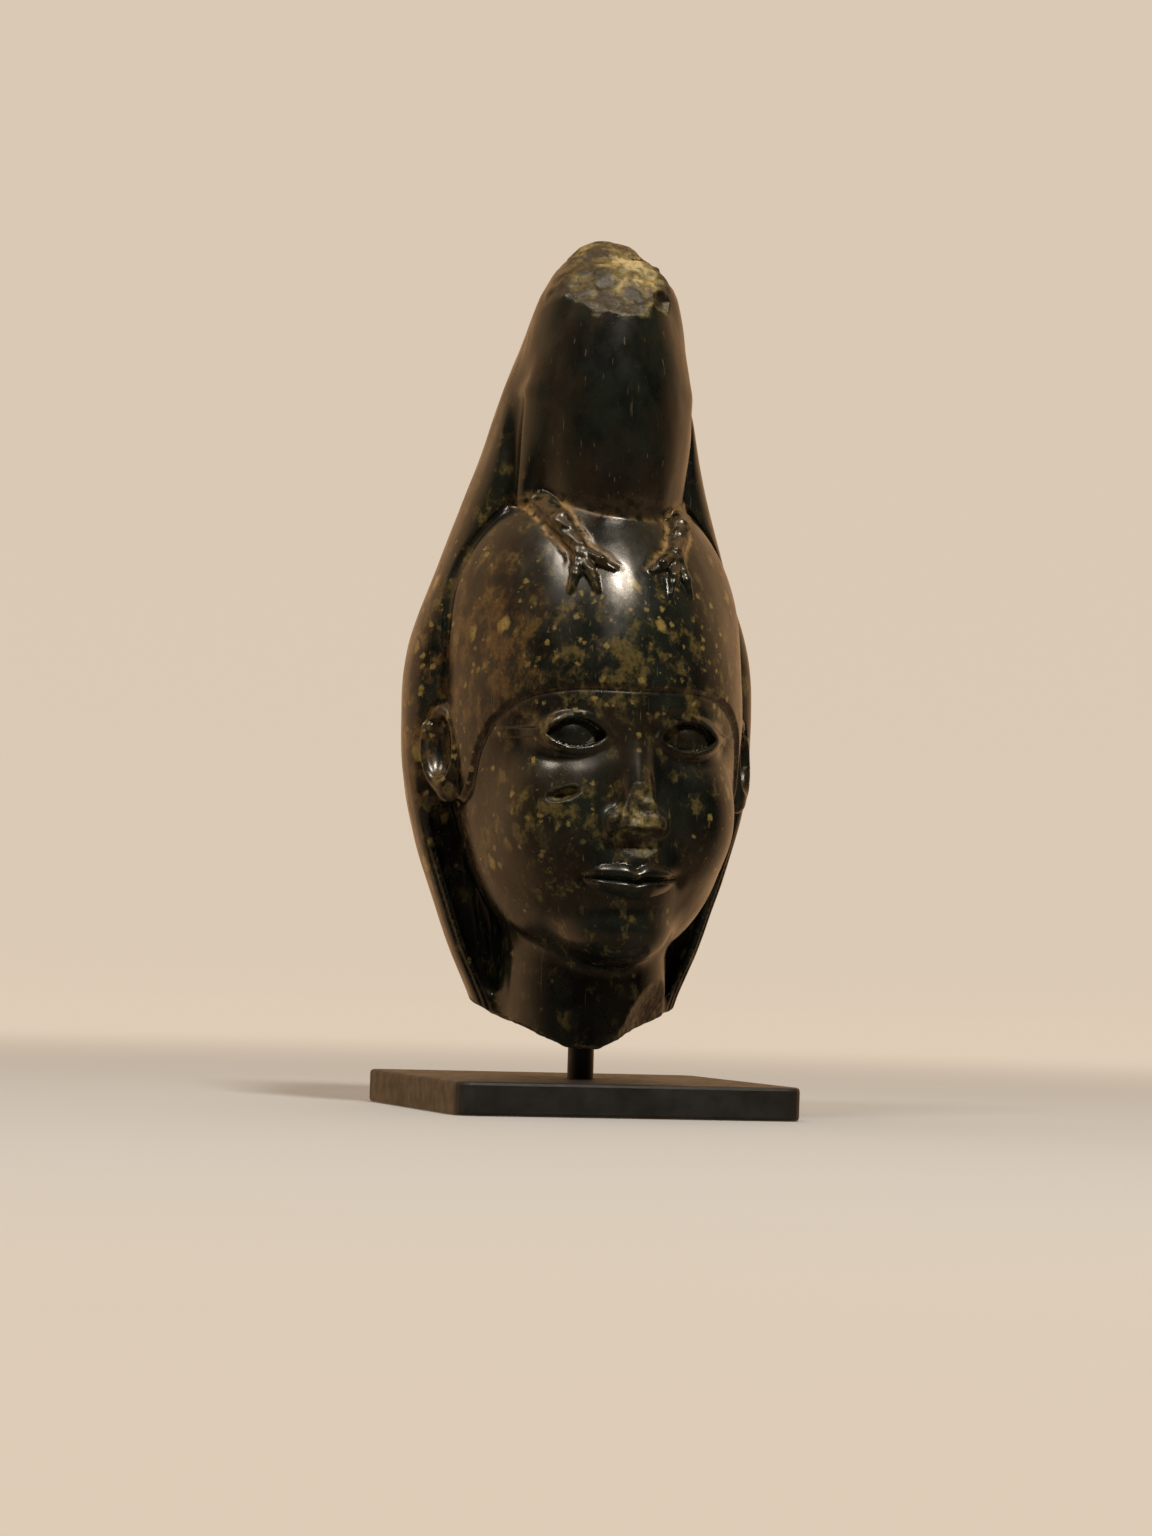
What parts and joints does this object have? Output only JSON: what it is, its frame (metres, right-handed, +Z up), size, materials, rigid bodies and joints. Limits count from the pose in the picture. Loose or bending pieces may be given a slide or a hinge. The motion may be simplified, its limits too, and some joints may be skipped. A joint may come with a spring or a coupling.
{
  "type": "carved stone head on a mounting rod",
  "caption": "Fragment of a polished dark stone statuette: a head in a close cap with a bird of prey on it, wings folded down the back, on a thin steel rod and foot.",
  "frame": {"origin": "middle of the foot's underside, on the rod's axis", "axes": "+Z up along the rod, face towards -Y, +X to the right of a viewer who looks at the face"},
  "size_m": [0.0664, 0.0654, 0.1603],
  "materials": {
    "dark_serpentine": "polished blue-green black serpentine with olive and yellow mottling, brown iron stains, and rough pale olive breaks at the top, nose and neck",
    "rod_black_paint": "satin black paint on steel rod",
    "foot_black_paint": "satin black paint on steel plate"
  },
  "bodies": {
    "root": {"stone_head": "dark_serpentine", "support_rod": "rod_black_paint", "rod_foot": "foot_black_paint"}
  },
  "joints": []
}
